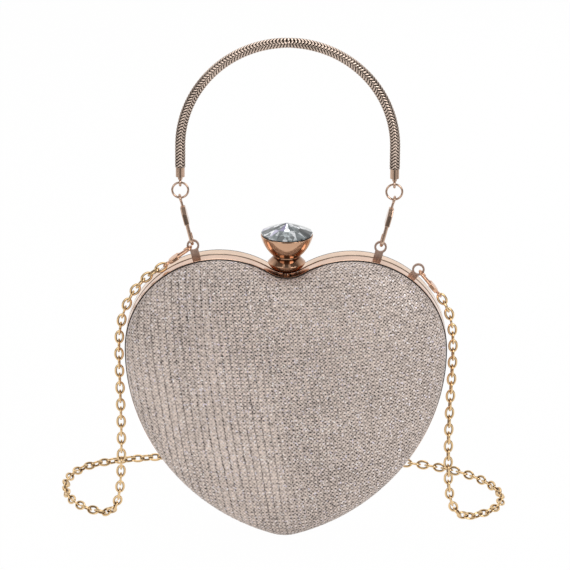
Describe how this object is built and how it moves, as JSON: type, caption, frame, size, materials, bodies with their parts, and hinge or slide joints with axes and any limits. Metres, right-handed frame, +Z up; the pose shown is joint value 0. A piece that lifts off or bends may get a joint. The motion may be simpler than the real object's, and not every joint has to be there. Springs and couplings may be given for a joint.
{
  "type": "heart shaped purse",
  "caption": "Hard heart shaped evening purse with fabric covered domed halves in a hinged metal frame, jewelled push knob, arched handle and chain strap.",
  "frame": {"origin": "under the top of the handle's arch, where a hand or a hook holds the purse", "axes": "+X to the purse's right seen from its front, +Y to its back, +Z up along the hanging purse"},
  "size_m": [0.2577, 0.2049, 0.2942],
  "materials": {
    "rose_gold_metal": "polished",
    "yellow_gold_metal": "polished",
    "strap_metal": "plated and polished",
    "handle_metal": "satin",
    "glitter_knit": "ribbed knit with metallic thread",
    "shell_board": "moulded",
    "lining_cloth": "satin",
    "inner_steel": "plated",
    "crystal": "faceted",
    "stone_foil": "bright"
  },
  "bodies": {
    "handle": {"handle_snake_chain": "handle_metal", "handle_cap_left": "rose_gold_metal", "handle_cap_right": "rose_gold_metal"},
    "ring_left": {"handle_ring_left": "rose_gold_metal"},
    "clasp_left": {"handle_clasp_left": "rose_gold_metal", "handle_clasp_pin_left": "rose_gold_metal"},
    "trigger_left": {"handle_clasp_trigger_left": "rose_gold_metal"},
    "ring_right": {"handle_ring_right": "rose_gold_metal"},
    "clasp_right": {"handle_clasp_right": "rose_gold_metal", "handle_clasp_pin_right": "rose_gold_metal"},
    "trigger_right": {"handle_clasp_trigger_right": "rose_gold_metal"},
    "front_half": {"front_shell": "shell_board", "front_cover": "glitter_knit", "front_lining": "lining_cloth", "front_frame": "rose_gold_metal", "hinge_leaf_front": "rose_gold_metal", "hinge_rivets_front": "rose_gold_metal", "hinge_pin": "inner_steel", "lock_housing": "inner_steel", "lock_rivets": "inner_steel", "pivot_pin": "inner_steel", "latch_spring": "inner_steel", "handle_lug_left": "rose_gold_metal", "handle_lug_right": "rose_gold_metal", "strap_lug_right": "rose_gold_metal", "strap_clasp_left": "yellow_gold_metal", "strap_clasp_pin_left": "yellow_gold_metal", "strap_clasp_right": "yellow_gold_metal", "strap_clasp_pin_right": "yellow_gold_metal", "strap_left_drop": "strap_metal", "strap_floor_run": "strap_metal", "strap_right_drop": "strap_metal"},
    "back_half": {"back_shell": "shell_board", "back_cover": "glitter_knit", "back_lining": "lining_cloth", "back_frame": "rose_gold_metal", "hinge_leaf_back": "rose_gold_metal", "hinge_rivets_back": "rose_gold_metal", "strike_plate": "inner_steel", "strike_rivets": "inner_steel"},
    "knob": {"latch_lever": "inner_steel", "knob_bead": "rose_gold_metal", "knob_cup": "rose_gold_metal", "knob_foil": "stone_foil", "knob_stone": "crystal"},
    "strap_trigger_left": {"strap_clasp_trigger_left": "yellow_gold_metal"},
    "strap_trigger_right": {"strap_clasp_trigger_right": "yellow_gold_metal"}
  },
  "joints": [
    {"name": "ring_left_swing", "type": "hinge", "parent": "handle", "child": "ring_left", "pos_m": [-0.05913, 0, -0.07778], "axis": [1, 0, 0], "range_deg": [-40, 40]},
    {"name": "clasp_left_swing", "type": "hinge", "parent": "ring_left", "child": "clasp_left", "pos_m": [-0.05913, 0, -0.08658], "axis": [1, 0, 0], "range_deg": [-40, 40]},
    {"name": "bag_swing", "type": "hinge", "parent": "clasp_left", "child": "front_half", "pos_m": [-0.05308, 0, -0.11032], "axis": [1, 0, 0], "range_deg": [-60, 60]},
    {"name": "ring_right_swing", "type": "hinge", "parent": "handle", "child": "ring_right", "pos_m": [0.05913, 0, -0.07778], "axis": [1, 0, 0], "range_deg": [-40, 40]},
    {"name": "clasp_right_swing", "type": "hinge", "parent": "ring_right", "child": "clasp_right", "pos_m": [0.05913, 0, -0.08658], "axis": [1, 0, 0], "range_deg": [-40, 40]},
    {"name": "lid_open", "type": "hinge", "parent": "front_half", "child": "back_half", "pos_m": [0, 0.0028, -0.28606], "axis": [-1, 0, 0], "range_deg": [0, 50]},
    {"name": "knob_tilt", "type": "hinge", "parent": "front_half", "child": "knob", "pos_m": [0, 0.0028, -0.13891], "axis": [-1, 0, 0], "range_deg": [0, 8], "stiffness_Nm_per_rad": 0.5, "springref_deg": -3.44},
    {"name": "trigger_left_press", "type": "hinge", "parent": "clasp_left", "child": "trigger_left", "pos_m": [-0.0559, 0.0026, -0.09928], "axis": [-0.969, 0, -0.247], "range_deg": [0, 10], "stiffness_Nm_per_rad": 0.02, "springref_deg": -5.73},
    {"name": "trigger_right_press", "type": "hinge", "parent": "clasp_right", "child": "trigger_right", "pos_m": [0.0559, 0.0026, -0.09928], "axis": [-0.969, 0, 0.247], "range_deg": [0, 10], "stiffness_Nm_per_rad": 0.02, "springref_deg": -5.73},
    {"name": "strap_trigger_left_press", "type": "hinge", "parent": "front_half", "child": "strap_trigger_left", "pos_m": [-0.06211, 0.002, -0.12198], "axis": [0.6018, 0, -0.7986], "range_deg": [0, 10], "stiffness_Nm_per_rad": 0.02, "springref_deg": -5.73},
    {"name": "strap_trigger_right_press", "type": "hinge", "parent": "front_half", "child": "strap_trigger_right", "pos_m": [0.08117, 0.002, -0.13715], "axis": [0.7771, 0, 0.6293], "range_deg": [0, 10], "stiffness_Nm_per_rad": 0.02, "springref_deg": -5.73}
  ],
  "couplings": [
    {"joint": "ring_right_swing", "follows": "ring_left_swing", "ratio": 1},
    {"joint": "clasp_right_swing", "follows": "clasp_left_swing", "ratio": 1}
  ]
}
